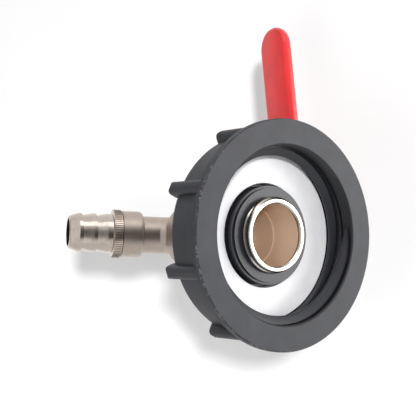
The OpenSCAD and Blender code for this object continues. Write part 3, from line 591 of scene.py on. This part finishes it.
def makeSheetMaterial():
    # matt white paper, seen from its front only, so that the part is seen from behind as well
    material = bpy.data.materials.new("whitePaper")
    material.use_nodes = True
    tree = material.node_tree
    tree.nodes.clear()
    toCamera = addNode(tree, "ShaderNodeLightPath", output="Is Camera Ray")
    toGloss = addNode(tree, "ShaderNodeLightPath", output="Is Glossy Ray")
    toGlass = addNode(tree, "ShaderNodeLightPath", output="Is Transmission Ray")
    seen = addNode(tree, "ShaderNodeMath", {"operation": "MAXIMUM"}, {0: toGloss, 1: toGlass})
    seen = addNode(tree, "ShaderNodeMath", {"operation": "MAXIMUM"}, {0: toCamera, 1: seen})
    glow = addNode(tree, "ShaderNodeMath", {"operation": "MULTIPLY"}, {0: seen, 1: sheetLook["glow"]})
    glow = addNode(tree, "ShaderNodeEmission", {}, {"Strength": glow})
    paper = addNode(tree, "ShaderNodeBsdfDiffuse", {}, {"Color": [sheetLook["catch"]] * 3 + [1]})
    front = addNode(tree, "ShaderNodeAddShader", {}, {0: glow, 1: paper})
    back = addNode(tree, "ShaderNodeNewGeometry", output="Backfacing")
    clear = addNode(tree, "ShaderNodeBsdfTransparent")
    surface = addNode(tree, "ShaderNodeMixShader", {}, {0: back, 1: front, 2: clear})
    addNode(tree, "ShaderNodeOutputMaterial", {}, {"Surface": surface})
    return material


def makeSheet():
    level = -Vector((towardsCamera.x, towardsCamera.y, 0)).normalized()
    across = Vector((level.y, -level.x, 0))
    foot = level * sheetLook["behind"] * mm
    foot.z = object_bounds()[0].z - sheetLook["floorDrop"] * mm
    halfWidth, front, height = [sheetLook[key] * mm for key in ("halfWidth", "front", "height")]
    clearSelection()
    bpy.ops.mesh.primitive_plane_add(size=2, location=(0, 0, 0))
    sheet = bpy.context.object
    bpy.ops.object.mode_set(mode="EDIT")
    bpy.ops.transform.resize(value=(halfWidth, front / 2, 1), center_override=(0, 0, 0))
    bpy.ops.transform.translate(value=(0, -front / 2, 0))
    selectPlaces(sheet, "EDGE", lambda a, b: max(abs(a.y), abs(b.y)) < samePlace)
    bpy.ops.mesh.extrude_region_move(TRANSFORM_OT_translate={"value": (0, 0, height)})
    selectPlaces(sheet, "EDGE", lambda a, b: max(abs(a.y), abs(b.y), abs(a.z), abs(b.z)) < samePlace)
    bpy.ops.mesh.bevel(offset=sheetLook["curve"] * mm, segments=sheetLook["curveSteps"], affect="EDGES")
    bpy.ops.object.mode_set(mode="OBJECT")
    bpy.ops.object.shade_smooth()
    sheet.matrix_world = Matrix.Translation(foot) @ Matrix((across, level, Vector((0, 0, 1)))).transposed().to_4x4()
    bpy.ops.object.transform_apply(location=True, rotation=True, scale=True)
    sheet.name = "paleSheet"
    sheet.data.materials.append(makeSheetMaterial())


makeSheet()
print("camera and sheet set")

# Lamps: direction from the part as (right, up, towards the camera); distance and size in m; glow is the
# softbox's own brightness. Two are hidden from mirrors, which would show them as hard white spots
lamps = {
    "overheadSoftbox": {"direction": (0.1, 0.85, 0.5), "distance": 0.9, "size": 0.45, "glow": 1.5, "inMirrors": True},
    "sideSoftbox": {"direction": (0.97, 0.12, 0.1), "distance": 1.0, "size": 0.6, "glow": 5.0, "inMirrors": True},
    "mouthSoftbox": {"direction": (-0.3, -0.05, 0.95), "distance": 0.25, "size": 0.08, "glow": 9.5,
                     "inMirrors": False},
    "keySoftbox": {"direction": (0.04, 0.16, 1.0), "distance": 1.2, "size": 0.08, "glow": 450.0, "inMirrors": False},
}
lampCentre = (0, 30, 0)  # the place that the lamps stand round and point to, in mm


def makeLamps():
    middle = Vector(lampCentre) * mm
    for name, lamp in lamps.items():
        right, rise, towards = lamp["direction"]
        direction = (cameraRight * right + cameraUp * rise + towardsCamera * towards).normalized()
        bpy.ops.object.light_add(type="AREA", location=middle + direction * lamp["distance"])
        light = bpy.context.object
        light.name = name
        light.data.size = lamp["size"]
        light.data.energy = lamp["glow"] * math.pi * lamp["size"] ** 2
        light.visible_glossy = lamp["inMirrors"]
        light.rotation_mode = "QUATERNION"
        light.rotation_quaternion = direction.to_track_quat("Z", "Y")


makeLamps()

# Room: white, dimmer on the left, with the two dark shapes that stand beside the camera.
# azimuth and rise of a shape's middle and its half sizes in degrees; dark is what is left of the white.
# fill is the even light on matt surfaces. The room dims over dimSpan towards dimDirection, an oval's
# shade fades out over softEdge, and farSide keeps its twin on the opposite side out of the room
roomLook = {"white": 0.92, "dimLeft": 0.45, "dimDirection": (-0.75, 0.66, 0.0),
            "dimSpan": {"From Min": 0.3, "From Max": 0.8}, "softEdge": {"From Min": 0.75, "From Max": 1.25},
            "farSide": {"From Min": 0.1, "From Max": 0.0, "To Max": 9.0}, "fill": 0.2, "shapes": [
                {"azimuth": 244, "rise": -5, "halfWidth": 17, "halfHeight": 46, "dark": 0.12},
                {"azimuth": 266, "rise": -14, "halfWidth": 10, "halfHeight": 19, "dark": 0.3}]}


def makeRoom():
    world = bpy.data.worlds.new("room")
    bpy.context.scene.world = world
    world.use_nodes = True
    tree = world.node_tree
    tree.nodes.clear()
    direction = addNode(tree, "ShaderNodeTexCoord", output="Generated")
    left = addNode(tree, "ShaderNodeVectorMath", {"operation": "DOT_PRODUCT"}, {
        0: direction, 1: roomLook["dimDirection"]}, "Value")
    mirrored = addNode(tree, "ShaderNodeMapRange", {}, {
        **roomLook["dimSpan"], "Value": left, "To Min": roomLook["white"], "To Max": roomLook["dimLeft"]})
    for shape in roomLook["shapes"]:
        azimuth, rise = math.radians(shape["azimuth"]), math.radians(shape["rise"])
        facing = Vector((math.cos(azimuth) * math.cos(rise), math.sin(azimuth) * math.cos(rise), math.sin(rise)))
        beside = Vector((-math.sin(azimuth), math.cos(azimuth), 0))
        # an oval: the squares of the two distances from its middle, each as a share of its half size
        squares = []
        for axis, halfSize in ((beside, shape["halfWidth"]), (facing.cross(beside), shape["halfHeight"])):
            share = addNode(tree, "ShaderNodeVectorMath", {"operation": "DOT_PRODUCT"}, {
                0: direction, 1: axis / math.sin(math.radians(halfSize))}, "Value")
            squares.append(addNode(tree, "ShaderNodeMath", {"operation": "MULTIPLY"}, {0: share, 1: share}))
        front = addNode(tree, "ShaderNodeVectorMath", {"operation": "DOT_PRODUCT"}, {0: direction, 1: facing}, "Value")
        behind = addNode(tree, "ShaderNodeMapRange", {}, {**roomLook["farSide"], "Value": front})
        oval = addNode(tree, "ShaderNodeMath", {}, {0: squares[0], 1: squares[1]})
        oval = addNode(tree, "ShaderNodeMath", {}, {0: oval, 1: behind})
        shade = addNode(tree, "ShaderNodeMapRange", {}, {
            **roomLook["softEdge"], "Value": oval, "To Min": shape["dark"]})
        mirrored = addNode(tree, "ShaderNodeMath", {"operation": "MULTIPLY"}, {0: mirrored, 1: shade})
    # matt surfaces are lit by the even fill, mirrors see the room, the camera sees white
    toCamera = addNode(tree, "ShaderNodeLightPath", output="Is Camera Ray")
    toGloss = addNode(tree, "ShaderNodeLightPath", output="Is Glossy Ray")
    toGlass = addNode(tree, "ShaderNodeLightPath", output="Is Transmission Ray")
    mirror = addNode(tree, "ShaderNodeMath", {"operation": "MAXIMUM"}, {0: toGloss, 1: toGlass})
    strength = addNode(tree, "ShaderNodeMix", {}, {0: mirror, 2: roomLook["fill"], 3: mirrored})
    strength = addNode(tree, "ShaderNodeMath", {"operation": "MAXIMUM"}, {0: strength, 1: toCamera})
    light = addNode(tree, "ShaderNodeBackground", {}, {"Color": (1, 1, 1, 1), "Strength": strength})
    addNode(tree, "ShaderNodeOutputWorld", {}, {"Surface": light})


makeRoom()
bpy.context.scene.view_settings.view_transform = "Standard"
print("lamps and room set")
